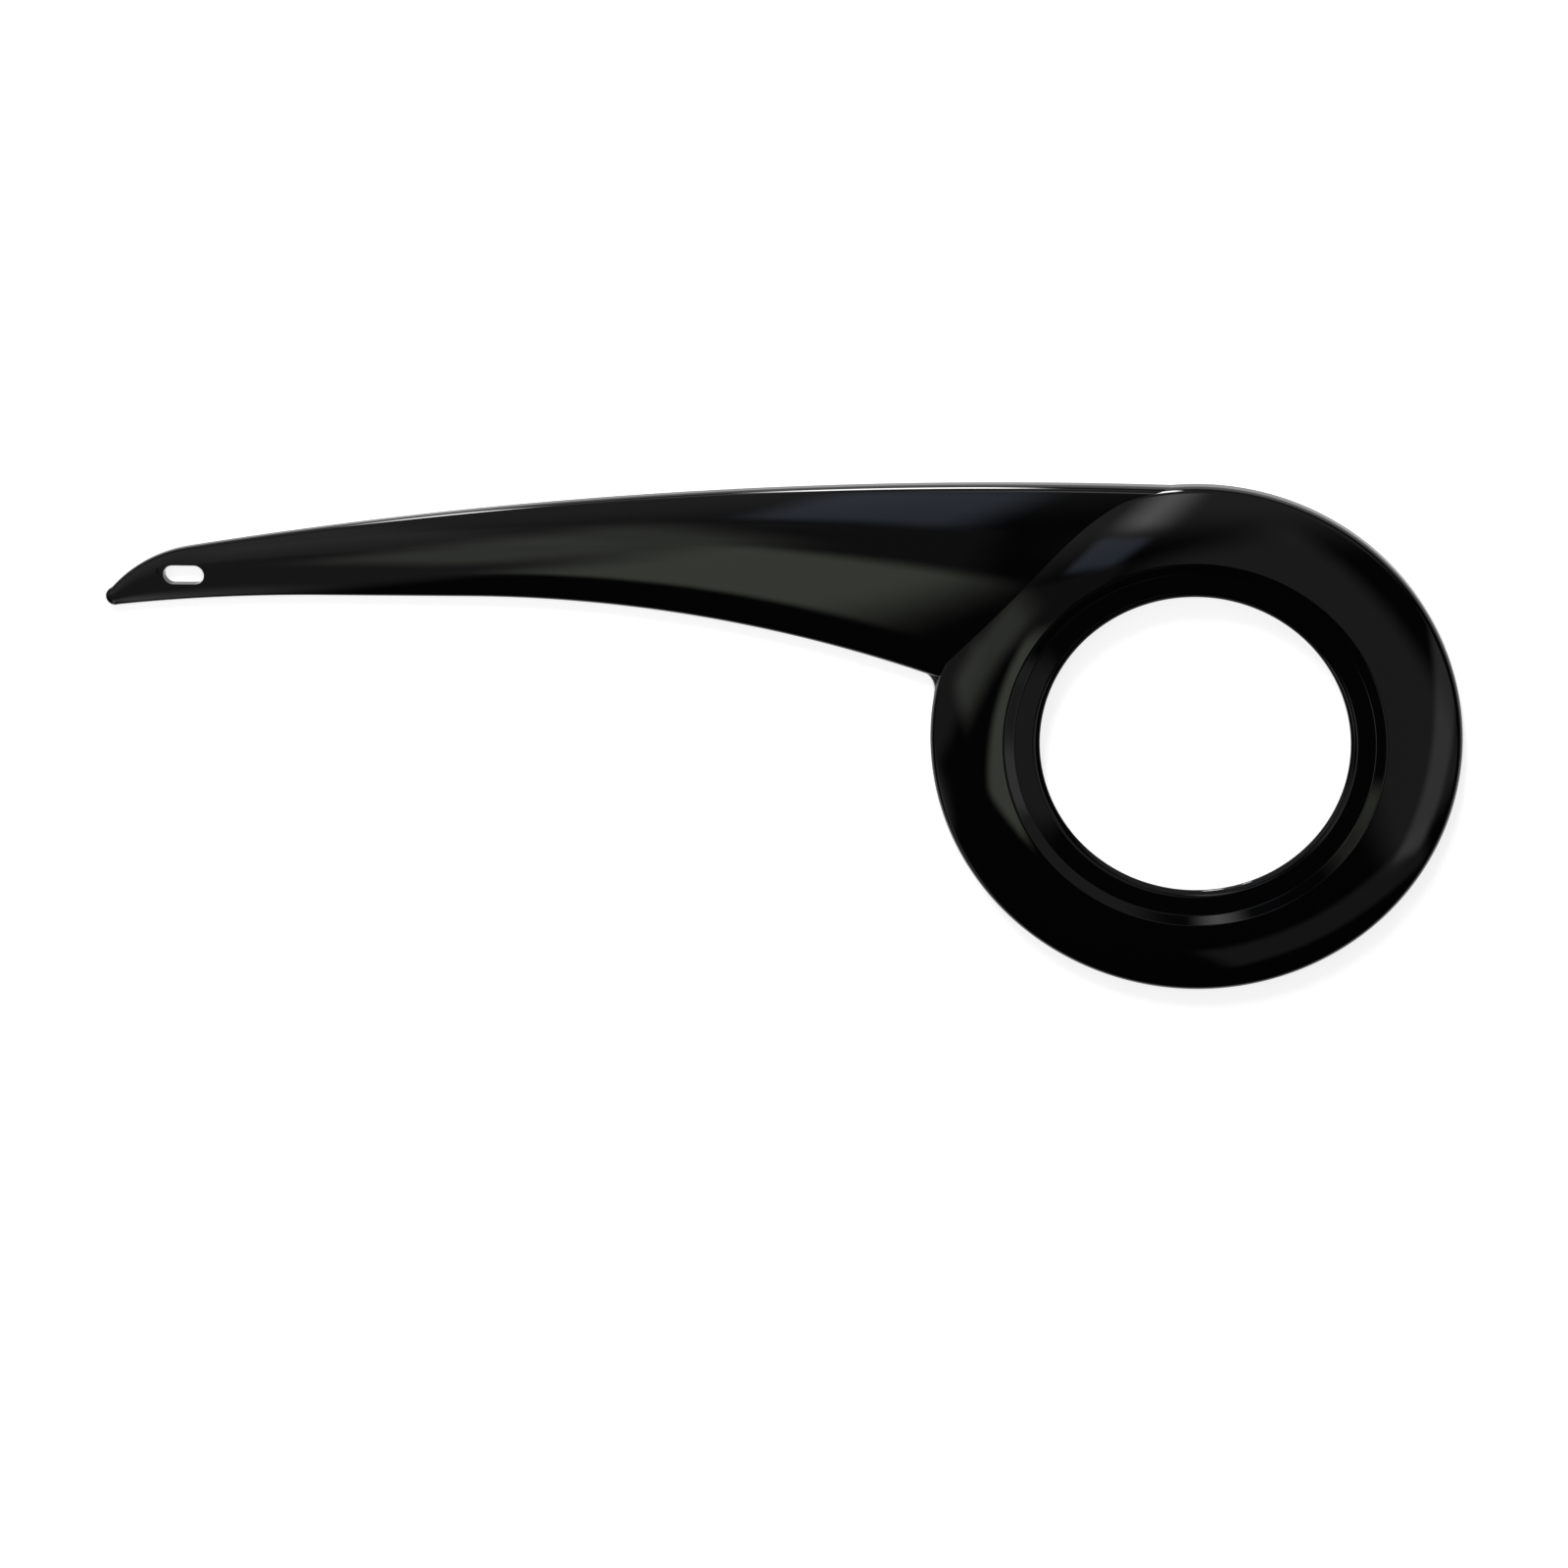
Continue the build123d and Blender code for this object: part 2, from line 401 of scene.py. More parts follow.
def lip_edge(reach):
    """Small rounding where the lip's face or back meets its end: its centre, and where it ends there."""
    turn = lip_turn - asin(lip_edge_round / reach)
    centre = lip_centre + np.array([-sin(turn), cos(turn)]) * reach
    return centre, lip_centre + lip_out * sqrt(reach**2 - lip_edge_round**2)


def ring_face():
    """Runs of the ring's outer face, from the foot of the skirt to the hole's wall."""
    up = np.array([0.0, 1.0])
    skirt_line = np.array([ring_radius - ring_edge_round, 0.0])
    edge_centre = meet_flank(skirt_line, up, flank_radius - ring_edge_round, shoulder)
    crest_centre = meet_flank(land + step_in * ridge_round, step_up, flank_radius - ridge_round, ridge)
    skirt_foot = np.array([ring_radius, -below_rim])
    skirt_top = np.array([ring_radius, edge_centre[1]])
    flank_low = flank_centre + unit(edge_centre - flank_centre) * flank_radius
    flank_high = flank_centre + unit(crest_centre - flank_centre) * flank_radius
    crest_in = crest_centre - step_in * ridge_round
    lip_top = lip_centre + land_out * lip_round
    valley = corner_run(ridge, land, lip_top, land_round, 8, hollow=True)
    edge, edge_end = lip_edge(lip_round - lip_edge_round)
    lip_end = lip_centre + unit(edge - lip_centre) * lip_round
    hole_foot = np.array([edge_end[0], -below_rim])
    return [
        line_run(skirt_foot, skirt_top, (1, 0), 3),
        arc_run(edge_centre, skirt_top, flank_low, 14),
        arc_run(flank_centre, flank_low, flank_high, 32),
        arc_run(crest_centre, flank_high, crest_in, 10),
        line_run(crest_in, valley[0][0], -step_in, 2),
        valley,
        line_run(valley[0][-1], lip_top, land_out, 2),
        arc_run(lip_centre, lip_top, lip_end, 16),
        arc_run(edge, lip_end, edge_end, 8),
        line_run(edge_end, hole_foot, (-1, 0), 4),
        line_run(hole_foot, skirt_foot, (0, -1), 2),
    ]


ring = turned("chain_guard_shell", ring_face(), ring_segments)

# %% [markdown]
# Behind the face, the shell is hollow, with a wall that is even all over. The mesh could be offset, but
# where the lip curls tightly it would fold over itself. So the hollow is drawn like the face, with each
# line and arc set back by the wall, and with plain corners.


# %% Ring's hollow
def set_corner_back(corner, normal_before, normal_after):
    """Corner of the section after both lines that meet there move in by the wall."""
    return corner + (normal_before + normal_after) * wall / (1 + normal_before @ normal_after)


def ring_inside():
    """Runs of the space behind the ring's face, one wall thickness in."""
    land_corner = set_corner_back(land, -land_out, step_in)
    ridge_corner = set_corner_back(ridge, step_in, unit(flank_centre - ridge))
    shoulder_corner = set_corner_back(shoulder, unit(flank_centre - shoulder), np.array([-1.0, 0.0]))
    reach = lip_round - wall
    lip_top = lip_centre + land_out * reach
    edge, edge_end = lip_edge(reach + lip_edge_round)
    lip_end = lip_centre + unit(edge - lip_centre) * reach
    inner_end = lip_centre + lip_out * (lip_round + wall)
    low_out = np.array([shoulder_corner[0], -below_rim - wall])
    low_in = np.array([inner_end[0], -below_rim - wall])
    return [
        line_run(low_out, shoulder_corner, (1, 0), 2),
        arc_through(shoulder_corner, flank_middle - flank_out * wall, ridge_corner, 20),
        line_run(ridge_corner, land_corner, -step_in, 1),
        line_run(land_corner, lip_top, land_out, 1),
        arc_run(lip_centre, lip_top, lip_end, 10),
        arc_run(edge, lip_end, edge_end, 6, hollow=True),
        line_run(edge_end, inner_end, (cos(lip_turn), sin(lip_turn)), 2),
        line_run(inner_end, low_in, (-1, 0), 1),
        line_run(low_in, low_out, (0, -1), 1),
    ]


ring_hollow = turned("ring_hollow", ring_inside(), ring_segments, inward=True)

# %% [markdown]
# ## The arm
# The arm is a loft: at each share of its length an upright plane joins its upper edge to its lower edge,
# and a crowned section stands there. A subdivided cage could follow the same curves, but only nearly.
# Both edges are walks along arcs instead, as a draughtsman would lay them out.

# %% Arm sizes and edges
bow_peak, bow_radius, bow_start_x, bow_length = (-70.0, 107.7), 2090.0, 4.0, 416.0
beak_radius, beak_turn = 58.5, radians(37.5)
heel, heel_rise, heel_radius = (-441.3, 54.9), radians(6.2), 784.0
lower_run, lower_bow_radius, lower_bow_turn = 62.4, 568.5, radians(29.0)
upper_length = bow_length + beak_radius * beak_turn
hair = 1e-9


def walk(start, heading, legs, shares):
    """Points at shares of a walk along legs of given length and turn (0 is straight)."""
    lengths = np.array([length for length, turn in legs])
    ends = np.concatenate([[0], np.cumsum(lengths)])
    walked = shares * ends[-1]
    found = np.zeros((len(shares), 2))
    place = np.array(start, float)
    for leg, (length, turn) in enumerate(legs):
        inside = (walked >= ends[leg] - hair) & (walked <= ends[leg + 1] + hair)
        gone = np.append(walked[inside] - ends[leg], length)
        if turn:
            bend = turn / length
            headings = heading + bend * gone
            steps = np.stack([np.sin(headings) - sin(heading), cos(heading) - np.cos(headings)], 1) / bend
        else:
            steps = np.outer(gone, [cos(heading), sin(heading)])
        found[inside] = place + steps[:-1]
        place = place + steps[-1]
        heading += turn
    return found


def arm_edges(shares):
    """Upper and lower edge of the arm in plan, at shares from the ring to the tail."""
    start_turn = asin((bow_start_x - bow_peak[0]) / bow_radius)
    start = (bow_start_x, bow_peak[1] - bow_radius * (1 - cos(start_turn)))
    upper_legs = [(bow_length, bow_length / bow_radius), (beak_radius * beak_turn, beak_turn)]
    lower_legs = [
        (heel_radius * heel_rise, -heel_rise),
        (lower_run, 0),
        (lower_bow_radius * lower_bow_turn, -lower_bow_turn),
    ]
    upper = walk(start, pi - start_turn, upper_legs, shares)
    lower = walk(heel, heel_rise, lower_legs, 1 - shares)
    return upper, lower


print("arm's upper edge:", round(upper_length, 1), "mm long")

# %% [markdown]
# Across the arm, the real section has an upright skirt on each side, a rounded edge and a shallow crown.
# All three shrink from the ring to the tail. A curve object could sweep one section along the arm, but it
# would scale all of it alike. So each section is worked out from its own share of the length.

# %% Arm's section
root_skirt_height, tail_skirt_height = 6.0, 3.0
root_crown, tail_crown, crown_power = 3.5, 0.6, 1.0
root_edge_round, tail_edge_round = 3.0, 1.4


def arm_section(share, half_width, set_back):
    """Runs of one section, from the foot below the upper edge over the crown to the other foot."""
    skirt = root_skirt_height + (tail_skirt_height - root_skirt_height) * share
    crown = tail_crown + (root_crown - tail_crown) * (1 - share) ** crown_power
    crown_radius = (half_width**2 + crown**2) / (2 * crown)
    centre = np.array([0.0, skirt + crown - crown_radius])
    radius, side = crown_radius - set_back, half_width - set_back
    foot = np.array([side, -below_rim - set_back])
    flip = np.array([-1.0, 1.0])
    if set_back:
        top = np.array([side, centre[1] + sqrt(radius**2 - side**2)])
        return [
            line_run(foot, top, (1, 0), 3),
            arc_run(centre, top, top * flip, 28),
            line_run(top * flip, foot * flip, (-1, 0), 3),
        ]
    edge_round = root_edge_round + (tail_edge_round - root_edge_round) * share
    edge_x = side - edge_round
    edge_centre = np.array([edge_x, centre[1] + sqrt((radius - edge_round) ** 2 - edge_x**2)])
    skirt_top = np.array([side, edge_centre[1]])
    crown_edge = centre + unit(edge_centre - centre) * radius
    return [
        line_run(foot, skirt_top, (1, 0), 4),
        arc_run(edge_centre, skirt_top, crown_edge, 12),
        arc_run(centre, crown_edge, crown_edge * flip, 44),
        arc_run(edge_centre * flip, crown_edge * flip, skirt_top * flip, 12),
        line_run(skirt_top * flip, foot * flip, (-1, 0), 4),
    ]


root_height, tail_height = root_skirt_height + root_crown, tail_skirt_height + tail_crown
print("the arm is", root_height, "mm high at the ring and", tail_height, "mm at the tail")

# %% [markdown]
# The sections stand side by side along the arm, and the tail's tip is half of the last one, turned about
# its upright axis. The sections' own normals would be simpler to use, but the surface also leans along the
# arm. The cross product of its two directions takes that lean in.

# %% Arm's loft
tail_pad_length = 45.0
arm_stations, tip_segments = 180, 48
down = np.array([0.0, 0.0, -1.0])


def arm_loft(end_share, set_back, stations):
    """Patches along the arm, with true normals of the lofted surface, and its stations in plan."""
    shares = np.linspace(0, end_share, stations + 1)
    upper, lower = arm_edges(shares)
    middle, span = (upper + lower) / 2, upper - lower
    width = np.linalg.norm(span, axis=1)
    across = span / width[:, None]
    sections = [arm_section(share, w / 2, set_back) for share, w in zip(shares, width)]
    patches = []
    for run in range(len(sections[0])):
        place, tangent, outward = [], [], []
        for station, section in enumerate(sections):
            points, normals = section[run]
            a, m = across[station], middle[station]
            place.append(np.column_stack([m + np.outer(points[:, 0], a), points[:, 1]]))
            tangent.append(np.column_stack([np.outer(-normals[:, 1], a), normals[:, 0]]))
            outward.append(np.column_stack([np.outer(normals[:, 0], a), normals[:, 1]]))
        place, tangent, outward = np.array(place), np.array(tangent), np.array(outward)
        facing = np.cross(np.gradient(place, axis=0), tangent)
        facing *= np.sign((facing * outward).sum(2, keepdims=True))
        patches.append((place, facing / np.linalg.norm(facing, axis=2, keepdims=True)))
    return patches, middle, across


def end_cap(patches, station, normal):
    """Flat face across one end of the loft."""
    outline = [place[station, :-1] for place, facing in patches]
    return np.concatenate(outline + [patches[-1][0][station, -1:]]), normal


def underside(first, last):
    """Flat patch between the feet of the first and the last run."""
    feet = np.stack([first[0][:, 0], last[0][:, -1]], 1)
    return feet, np.tile(down, feet.shape[:2] + (1,))


def to_ring(across):
    """Level direction square to a section, on the ring's side."""
    return np.array([across[1], -across[0], 0.0])


def arm_body():
    """The arm's outer form with its rounded tip: half of the last section turned about its upright axis."""
    loft, middle, across = arm_loft(1, 0, arm_stations)
    turn = atan2(across[-1][1], across[-1][0])
    upper_end, lower_end = arm_edges(np.array([1.0]))
    half = []
    for points, normals in arm_section(1, np.linalg.norm(upper_end - lower_end) / 2, 0)[:3]:
        keep = points[:, 0] > -hair
        half.append((points[keep], normals[keep]))
    tip = turned_patches(half, tip_segments, turn, turn + pi)
    for place, facing in tip:
        place[:, :, :2] += middle[-1]
    caps = [(tip[0][0][:, 0], down), end_cap(loft, 0, to_ring(across[0]))]
    return solid("arm", loft + tip + [underside(loft[0], loft[-1])], caps)


def arm_space():
    """The hollow behind the arm, one wall thickness in. It ends before the tail's solid pad."""
    loft, middle, across = arm_loft(1 - tail_pad_length / upper_length, wall, arm_stations // 2)
    caps = [end_cap(loft, 0, to_ring(across[0])), end_cap(loft, -1, -to_ring(across[-1]))]
    return solid("arm_space", loft + [underside(loft[0], loft[-1])], caps, inward=True)


arm, arm_hollow = arm_body(), arm_space()
print("arm:", len(arm.data.polygons), "faces, hollow:", len(arm_hollow.data.polygons))

# %% [markdown]
# ## The notch
# Where the arm's lower edge meets the ring, the moulding rounds the corner in plan, because a sharp notch
# would crack. A bevel on the joined shell could round it, but it would have to find the right edge among
# thousands. A small web with a hollow front is laid into the corner instead.

# %% Notch's web
notch_round, notch_bite, notch_drop, notch_edge_round = 8.0, 0.15, 1.4, 2.5
web_segments, edge_samples = 24, 4001


def notch_web():
    """Web that rounds the corner in plan between the arm's lower edge and the ring."""
    lower = arm_edges(np.linspace(0, 1, edge_samples))[1]
    at_ring = np.argmin(np.abs(np.linalg.norm(lower, axis=1) - ring_radius))
    notch = lower[at_ring]
    to_tail = unit(lower[at_ring + 1] - notch)
    to_bottom = unit(np.array([-notch[1], notch[0]]))
    outwards = unit(to_tail + to_bottom)
    half_angle = acos(to_tail @ to_bottom) / 2
    reach = notch_round / tan(half_angle)
    centre = notch + outwards * (notch_round / sin(half_angle) - notch_bite)

    # Its section stands on a foot of its own height, so that it shares no plane with the other forms
    height, web_foot = root_skirt_height - notch_drop, -below_rim / 2
    front, back = notch_round, notch_round + 4 * wall
    foot, top = np.array([front, web_foot]), np.array([front, height])
    far_top, far_foot = np.array([back, height]), np.array([back, web_foot])
    edge = corner_run(foot, top, far_top, notch_edge_round, 10)
    runs = [
        line_run(foot, edge[0][0], (-1, 0), 2),
        edge,
        line_run(edge[0][-1], far_top, (0, 1), 2),
        line_run(far_top, far_foot, (1, 0), 2),
        line_run(far_foot, foot, (0, -1), 2),
    ]
    first, last = notch + to_bottom * reach - centre, notch + to_tail * reach - centre
    start = atan2(first[1], first[0])
    end = start + atan2(first[0] * last[1] - first[1] * last[0], first @ last)
    patches = turned_patches(runs, web_segments, start, end)
    for place, facing in patches:
        place[:, :, :2] += centre
    caps = [end_cap(patches, 0, np.append(-to_bottom, 0)), end_cap(patches, -1, np.append(-to_tail, 0))]
    return solid("notch_web", patches, caps)


web = notch_web()
print("web:", len(web.data.polygons), "faces")

# %% [markdown]
# ## One shell
# The real mould has one cavity, so the forms are joined, then hollowed by the same forms set back. A
# Solidify modifier could give the wall, but its offset would run through itself at creases, and it would
# hollow the tail's solid pad too. The crease where the arm runs into the ring's flank comes out of the
# join by itself.

# %% Join and hollow
# A drum clears the arm inside the ridge. Its wall ends up buried in the ring, so half the segments do
drum_segments = ring_segments // 2
past_top, past_rim = 4 * ridge_height, -4 * ridge_height


def drum(name, radius, inward):
    """Upright cylinder on the ring's axis, longer than the guard is high, used as a cutter."""
    bottom, top = np.array([radius, past_rim]), np.array([radius, past_top])
    on_axis = np.array([0.0, 1.0])
    runs = [
        line_run(bottom * on_axis, bottom, (0, -1), 1),
        line_run(bottom, top, (1, 0), 1),
        line_run(top, top * on_axis, (0, 1), 1),
    ]
    return turned(name, runs, drum_segments, inward)


arm = cut(arm, drum("core", ridge_radius, True), "DIFFERENCE")
arm_hollow = cut(arm_hollow, drum("hollow_core", ridge_radius, False), "DIFFERENCE")
guard = cut(ring, arm, "UNION")
guard = cut(guard, web, "UNION")
hollow = cut(ring_hollow, arm_hollow, "UNION")
guard = cut(guard, hollow, "DIFFERENCE")

# %% [markdown]
# ## Rim
# The guard ends behind in one flat rim. The forms could have been drawn to end there, but then many of
# their faces would lie in one plane, where a Boolean has to guess. So every form runs on below the rim,
# and one block takes all of that away at the end.


# %% Trim at the rim
def block(name, lowest, highest):
    """Plain box, used as a cutter."""
    (x0, y0, z0), (x1, y1, z1) = lowest, highest
    corners = np.array([[x, y, z] for z in (z0, z1) for y in (y0, y1) for x in (x0, x1)])
    sides = ((0, 2, 3, 1), (4, 5, 7, 6), (0, 1, 5, 4), (2, 6, 7, 3), (0, 4, 6, 2), (1, 3, 7, 5))
    facings = ((0, 0, -1), (0, 0, 1), (0, -1, 0), (0, 1, 0), (-1, 0, 0), (1, 0, 0))
    caps = [(corners[list(side)], np.array(facing, float)) for side, facing in zip(sides, facings)]
    return solid(name, [], caps, inward=True)


# Wider than the guard all round, with its top in the plane of the rim
trim_lowest, trim_highest = (-600, -300, past_rim), (300, 300, 0)
guard = cut(guard, block("below", trim_lowest, trim_highest), "DIFFERENCE")

# %% [markdown]
# ## Slot and gate mark
# The slot lets the tail be set along the bicycle before it is fastened. The small mark beside it is where
# the plastic ran into the mould. A bump texture could draw the mark, but seen from close by it would have
# no edge. So both are cut, by upright prisms with round ends.

# %% Slot and gate mark
slot_centre, slot_length, slot_width = (-412.5, 68.2), 17.0, 8.0
quarter_steps = 10
gate_gap, gate_rise, gate_width, gate_length, gate_floor = 2.1, 1.7, 1.4, 2.6, 3.2


def round_ended(name, centre, along, length, width, low, high):
    """Upright prism whose plan has two straight sides and two round ends."""
    along = np.array(along, float)
    across = np.array([-along[1], along[0]])
    ends = [np.array(centre) + along * (length - width) / 2 * side for side in (1, -1)]
    reach = across * width / 2
    tips = [ends[0] + along * width / 2, ends[1] - along * width / 2]
    runs = [
        arc_run(ends[0], ends[0] - reach, tips[0], quarter_steps),
        arc_run(ends[0], tips[0], ends[0] + reach, quarter_steps),
        line_run(ends[0] + reach, ends[1] + reach, across, 1),
        arc_run(ends[1], ends[1] + reach, tips[1], quarter_steps),
        arc_run(ends[1], tips[1], ends[1] - reach, quarter_steps),
        line_run(ends[1] - reach, ends[0] - reach, -across, 1),
    ]
    patches, outline = [], []
    for points, normals in runs:
        walls = np.array([np.column_stack([points, np.full(len(points), z)]) for z in (low, high)])
        facing = np.column_stack([normals, np.zeros(len(points))])
        patches.append((walls, np.array([facing, facing])))
        outline.append(points[:-1])
    outline = np.concatenate(outline)
    caps = []
    for z, facing in ((low, down), (high, -down)):
        caps.append((np.column_stack([outline, np.full(len(outline), z)]), facing))
    return solid(name, patches, caps, inward=True)


gate_centre = (slot_centre[0] - slot_length / 2 - gate_gap, slot_centre[1] + gate_rise)
slot_tool = round_ended("slot", slot_centre, (1, 0), slot_length, slot_width, past_rim, past_top)
gate_tool = round_ended("gate", gate_centre, (0, 1), gate_length, gate_width, gate_floor, past_top)
guard = cut(guard, slot_tool, "DIFFERENCE")
guard = cut(guard, gate_tool, "DIFFERENCE")

# %% [markdown]
# ## Closed and smooth
# Cuts can leave two points a hair apart, which opens the mesh there. They are merged, and the open edges
# are counted. Then the stored normals become the mesh's own. Shade Smooth by Angle could stand in for
# them, but it averages over the slivers that cuts leave, and the gloss would show that.


# %% Close the mesh and use its normals
def close_seams(mesh):
    """Merges what the cuts left apart, and counts the edges that still don't close."""
    work = bmesh.new()
    work.from_mesh(mesh)
    weld(work)
    print("open edges:", sum(len(edge.link_faces) != 2 for edge in work.edges))
    work.to_mesh(mesh)
    work.free()


def use_stored_normals(mesh):
    """Shades the mesh smooth with the normals that its corners carry."""
    mesh.polygons.foreach_set("use_smooth", np.ones(len(mesh.polygons), bool))
    facing = np.zeros(len(mesh.loops) * 3, np.float32)
    mesh.attributes[NORMAL].data.foreach_get("vector", facing)
    facing = facing.reshape(-1, 3)
    length = np.linalg.norm(facing, axis=1, keepdims=True)
    print("corners without a normal:", int((length < 0.5).sum()), "of", len(facing))
    mesh.normals_split_custom_set((facing / np.maximum(length, hair)).tolist())


close_seams(guard.data)
use_stored_normals(guard.data)
guard.name = guard.data.name = "chain_guard_moulding"
guard.data.calc_loop_triangles()
print("guard:", len(guard.data.polygons), "faces,", len(guard.data.loop_triangles), "triangles")

# %% [markdown]
# ## Hand-over
# The finished shell is the look of the CAD solid chain_guard, on the only body there is. The solid could be
# shown under it, but the two would fight for the same place. So the shell replaces it in pictures, and the
# solid is left for weight and collision.

# %% Hand the guard to the frame
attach(guard, "root")
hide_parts("chain_guard")
print(guard.name, "rides on root and takes slot gloss_black_abs")

# %% [markdown]
# ## Floor
# The guard lies on white paper. More light would make the paper white, but it would also wash out the
# black. So the paper has a glow of its own, for rays from the camera and from mirroring skins alone, and
# it is dim enough to leave the guard's shadow.

# %% Floor
floor_half, paper_glow = 6.0, 0.78


def white_paper():
    material = bpy.data.materials.new("white_paper")
    material.use_nodes = True
    tree = material.node_tree
    tree.nodes.clear()
    rays = node(tree, "ShaderNodeLightPath").outputs
    seen = rays["Is Camera Ray"]
    for kind in ("Is Glossy Ray", "Is Transmission Ray"):
        seen = node(tree, "ShaderNodeMath", {"operation": "MAXIMUM"}, seen, rays[kind]).outputs[0]
    lift = node(tree, "ShaderNodeMath", {"operation": "MULTIPLY"}, seen, paper_glow)
    paper = node(tree, "ShaderNodeBsdfDiffuse", Color=linear("#f6f6f6"))
    glow = node(tree, "ShaderNodeEmission", Color=linear("#ffffff"), Strength=lift.outputs[0])
    both = node(tree, "ShaderNodeAddShader", None, paper.outputs[0], glow.outputs[0])
    node(tree, "ShaderNodeOutputMaterial", Surface=both.outputs[0])
    return material


def pale_floor():
    mesh = bpy.data.meshes.new("floor")
    plan = ((-1, -1), (1, -1), (1, 1), (-1, 1))
    mesh.from_pydata([(x * floor_half, y * floor_half, 0) for x, y in plan], [], [(0, 1, 2, 3)])
    mesh.materials.append(white_paper())
    made = bpy.data.objects.new("floor", mesh)
    bpy.context.scene.collection.objects.link(made)


pale_floor()
print("floor:", 2 * floor_half, "m square")

# %% [markdown]
# ## Light
# A black gloss has hardly any shade of its own: what it shows is the room. One big softbox would light it,
# and would be mirrored as one plain grey. So the room is set out as the guard mirrors it. Dim boards hang
# over it with gaps between them, and two tall windows stand beyond the arm's upper edge, where the rounded
# edge catches them as a white line. The lamps fade out towards their rims, because a hard rim would be
# mirrored as a hard line.


# %% Soft lamps
def soft_panel(name, place, size, fade, level, turn=(0, 0, 0), colour="#ffffff"):
    """Area lamp that fades out over a width at its rim. The level is the grey that a mirror would show."""
    lamp = bpy.data.lights.new(name, "AREA")
    lamp.shape, lamp.size, lamp.size_y = "RECTANGLE", size[0], size[1]
    lamp.energy = level * pi * size[0] * size[1]
    lamp.use_nodes = True
    tree = lamp.node_tree
    tree.nodes.clear()
    across = node(tree, "ShaderNodeNewGeometry").outputs["Parametric"]
    spot = node(tree, "ShaderNodeSeparateXYZ", None, across).outputs
    strengths = []
    for axis in (0, 1):
        from_rim = node(tree, "ShaderNodeMath", {"operation": "PINGPONG"}, spot[axis], 0.5)
        fade_in = node(
            tree,
            "ShaderNodeMapRange",
            {"interpolation_type": "SMOOTHSTEP"},
            Value=from_rim.outputs[0],
            From_Max=fade / size[axis],
        )
        strengths.append(fade_in.outputs["Result"])
    both = node(tree, "ShaderNodeMath", {"operation": "MULTIPLY"}, *strengths)
    glow = node(tree, "ShaderNodeEmission", Color=linear(colour), Strength=both.outputs[0])
    node(tree, "ShaderNodeOutputLight", None, glow.outputs[0])
    made = bpy.data.objects.new(name, lamp)
    made.location, made.rotation_euler = place, [radians(angle) for angle in turn]
    bpy.context.scene.collection.objects.link(made)
    print("lamp", name, "of", round(lamp.energy, 2), "W")


# %% [markdown]
# Each lamp is named for where it hangs or for what mirrors it. Places and sizes are in metres, turns are in
# degrees about X, Y and Z. Two lamps have the faint green of a wall and one the blue of a clear sky.

# %% Lamps
sky_blue, wall_green = "#cbdfff", "#f6ffe9"
facing_the_guard = (-90, 0, 0)

# Mirrored along the arm's upper half, and as the bright streak where the arm runs into the ring
soft_panel("top_board", (-0.42, 0.6, 0.6), (2.26, 1.26), 0.14, 0.25, (0, 0, 12))
soft_panel("far_top_board", (-0.65, 1.3, 0.7), (0.6, 1.3), 0.06, 0.8, (0, 0, 56))
soft_panel("top_light", (-0.14, 0.46, 2.05), (0.36, 0.8), 0.2, 1.4, (0, 0, -21))
soft_panel("arm_top_light", (-0.31, 0.01, 2.0), (0.3, 0.3), 0.08, 0.56, (0, 0, -21), sky_blue)

# Mirrored on the ring's flank, to the right and below
soft_panel("right_board", (0.275, -0.2, 0.8), (0.42, 0.8), 0.1, 0.2, (0, 0, 42))
soft_panel("front_board", (0.63, -1.67, 2.2), (0.56, 1.36), 0.14, 0.13, (0, 0, -65))

# Mirrored along the arm's lower half and on the ring's left, with a dark gap along the arm's lower edge
soft_panel("left_light", (-0.52, -0.77, 2.3), (0.4, 0.76), 0.12, 0.8, (0, 0, -22), wall_green)
soft_panel("left_ceiling", (-0.66, -0.26, 2.25), (0.9, 0.38), 0.06, 0.07, (0, 0, -9))
soft_panel("arm_board", (-0.68, -0.11, 0.65), (0.6, 0.6), 0.06, 0.15, (0, 0, -44))
soft_panel("root_light", (-0.47, -0.18, 1.1), (0.26, 0.42), 0.1, 0.45, (0, 0, -45), wall_green)
soft_panel("tail_light", (-0.9, -0.95, 0.92), (1.24, 0.32), 0.24, 1.8, (0, 0, 68))

# Mirrored on the left of the land, and in the small step beside it
soft_panel("land_light", (0.21, -0.79, 2.3), (0.14, 0.36), 0.06, 0.2)
soft_panel("step_light", (1.22, -0.72, 2.3), (0.4, 1.7), 0.12, 0.4, (0, 0, -14))

# Seen from above, mirrored in the rounded upper edge alone
soft_panel("window", (-0.32, 1.7, 0.8), (0.4, 0.9), 0.1, 24, facing_the_guard)
soft_panel("far_window", (-0.9, 1.7, 0.8), (0.25, 0.9), 0.08, 24, facing_the_guard)

# %% [markdown]
# ## Room
# The room itself is nearly dark overhead and paler towards its walls. One even grey would be simpler, but
# it would lift the darkest parts of the face. From above, only the rounded edges turn far enough to mirror
# the walls, as fine lines. Seen from low down, the whole face mirrors them.

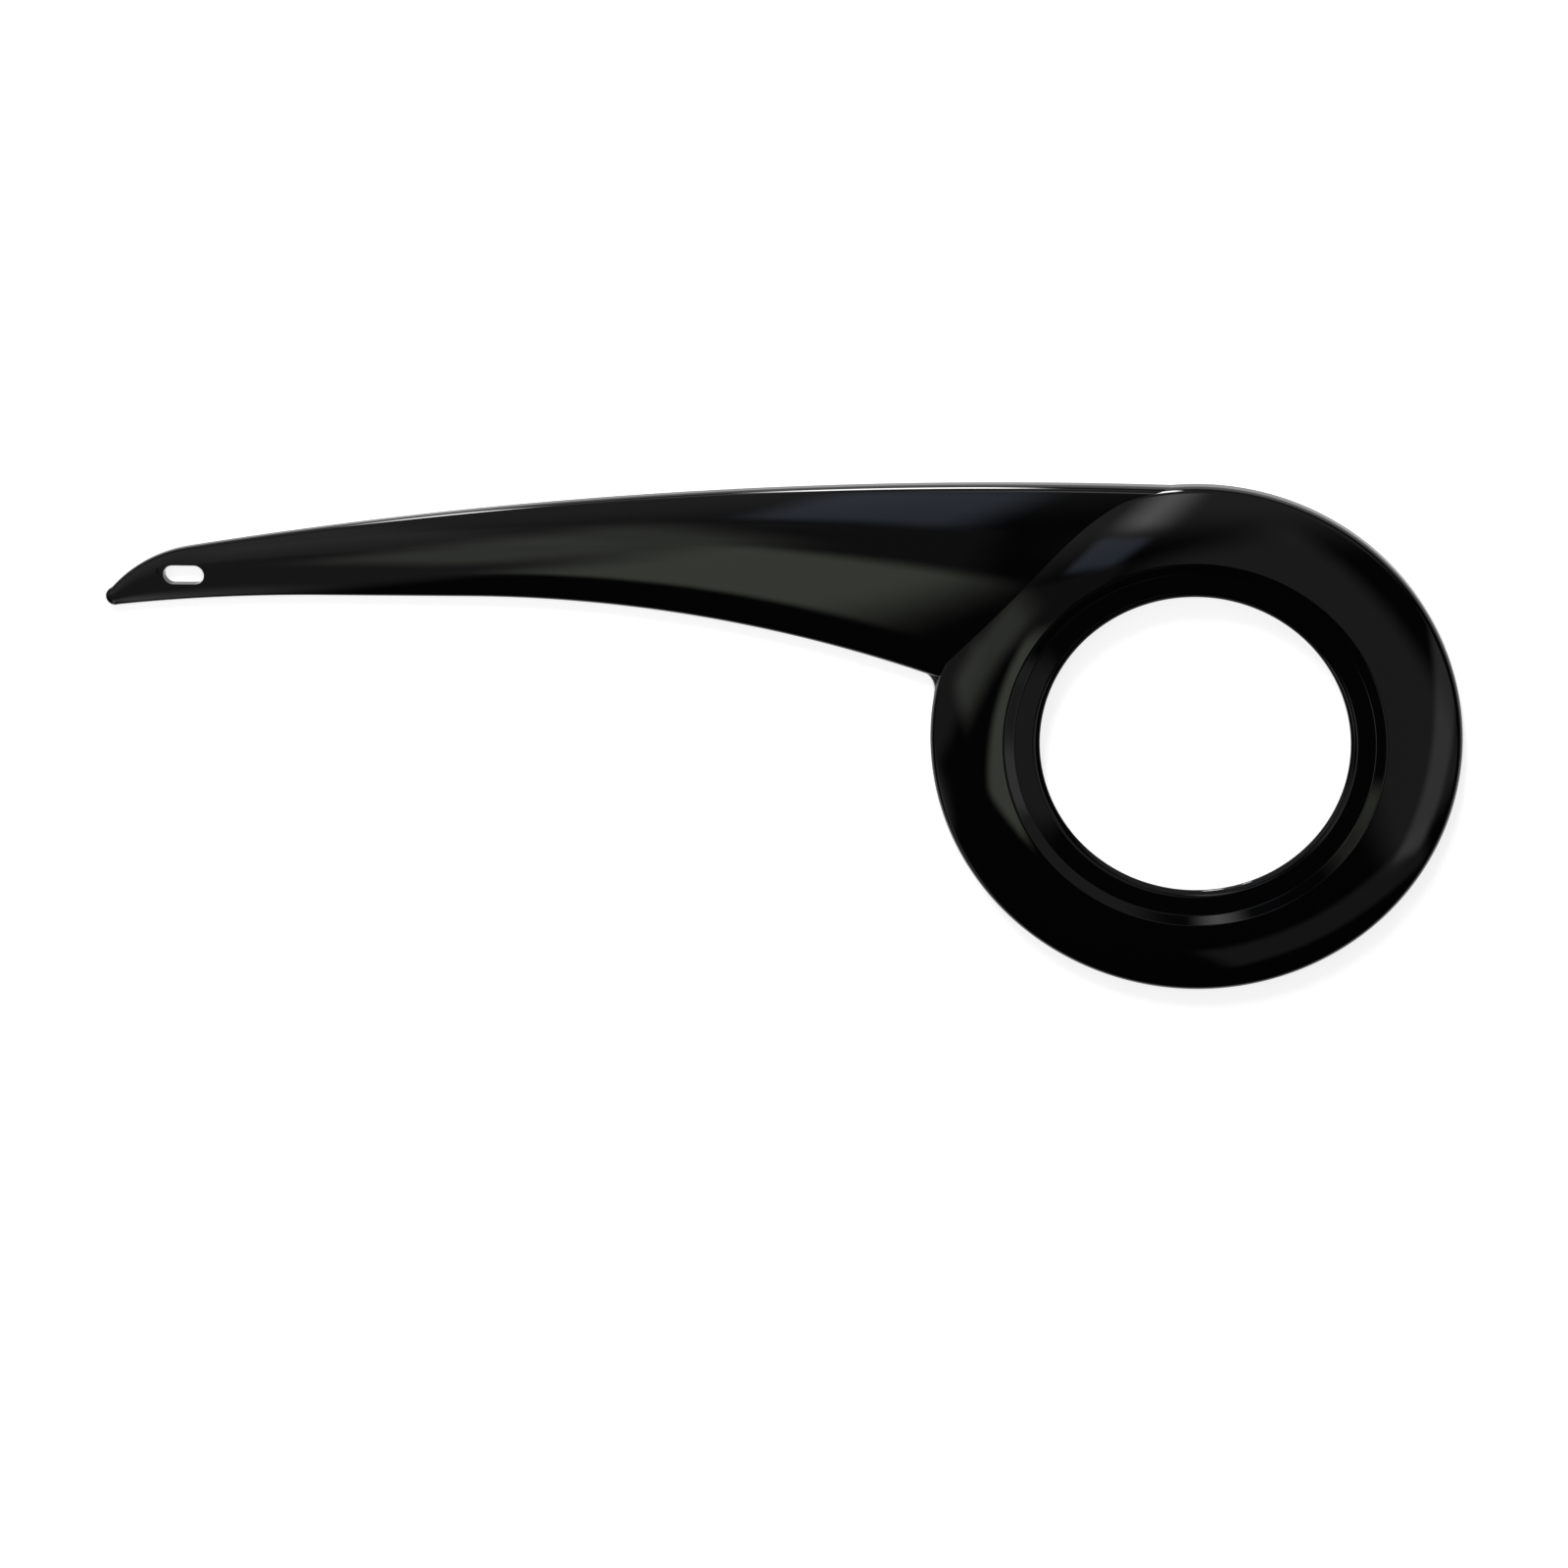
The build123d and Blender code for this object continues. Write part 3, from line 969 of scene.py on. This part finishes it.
# %% Room
wall_level, ceiling_level = 0.3, 0.008
wall_top, ceiling_start = radians(6), radians(27)


def dim_room():
    world = bpy.data.worlds.new("dim_room")
    world.use_nodes = True
    tree = world.node_tree
    tree.nodes.clear()
    direction = node(tree, "ShaderNodeTexCoord").outputs["Generated"]
    height = node(tree, "ShaderNodeSeparateXYZ", None, direction).outputs["Z"]
    level = node(
        tree,
        "ShaderNodeMapRange",
        {"interpolation_type": "SMOOTHSTEP"},
        Value=height,
        From_Min=sin(wall_top),
        From_Max=sin(ceiling_start),
        To_Min=wall_level,
        To_Max=ceiling_level,
    )
    room = node(tree, "ShaderNodeBackground", Color=linear("#ffffff"), Strength=level.outputs["Result"])
    node(tree, "ShaderNodeOutputWorld", Surface=room.outputs["Background"])
    return world


bpy.context.scene.world = dim_room()
bpy.context.scene.view_settings.view_transform = "Standard"
print("room: walls at", wall_level, "and ceiling at", ceiling_level)

# %% [markdown]
# ## Camera
# The photograph looks down on the face, tilted a little towards the ring and more towards the arm's upper
# edge. The hole is a circle, so how flat it looks tells the tilts. A Track To constraint could aim the
# camera, but it can't hold the slight roll, so the camera's axes are worked out and set as one matrix.

# %% Camera
tilt_x, tilt_y, roll = radians(5.942), radians(19.277), radians(-1.465)
aim, distance = Vector((-0.168, -0.021, 0.0)), 1.79
lens, sensor = 100.0, 36.0

back = Vector((sin(tilt_x), sin(tilt_y), sqrt(1 - sin(tilt_x) ** 2 - sin(tilt_y) ** 2)))
right = Vector((0, 1, 0)).cross(back).normalized()
up = back.cross(right)
turn = Matrix((right, up, back)).transposed() @ Matrix.Rotation(roll, 3, "Z")
camera_data = bpy.data.cameras.new("camera")
camera_data.lens, camera_data.sensor_width, camera_data.sensor_fit = lens, sensor, "HORIZONTAL"
camera = bpy.data.objects.new("camera", camera_data)
camera.matrix_world = Matrix.Translation(aim + back * distance) @ turn.to_4x4()
bpy.context.scene.collection.objects.link(camera)
bpy.context.scene.camera = camera
print("camera stands at", [round(v, 3) for v in camera.matrix_world.translation])
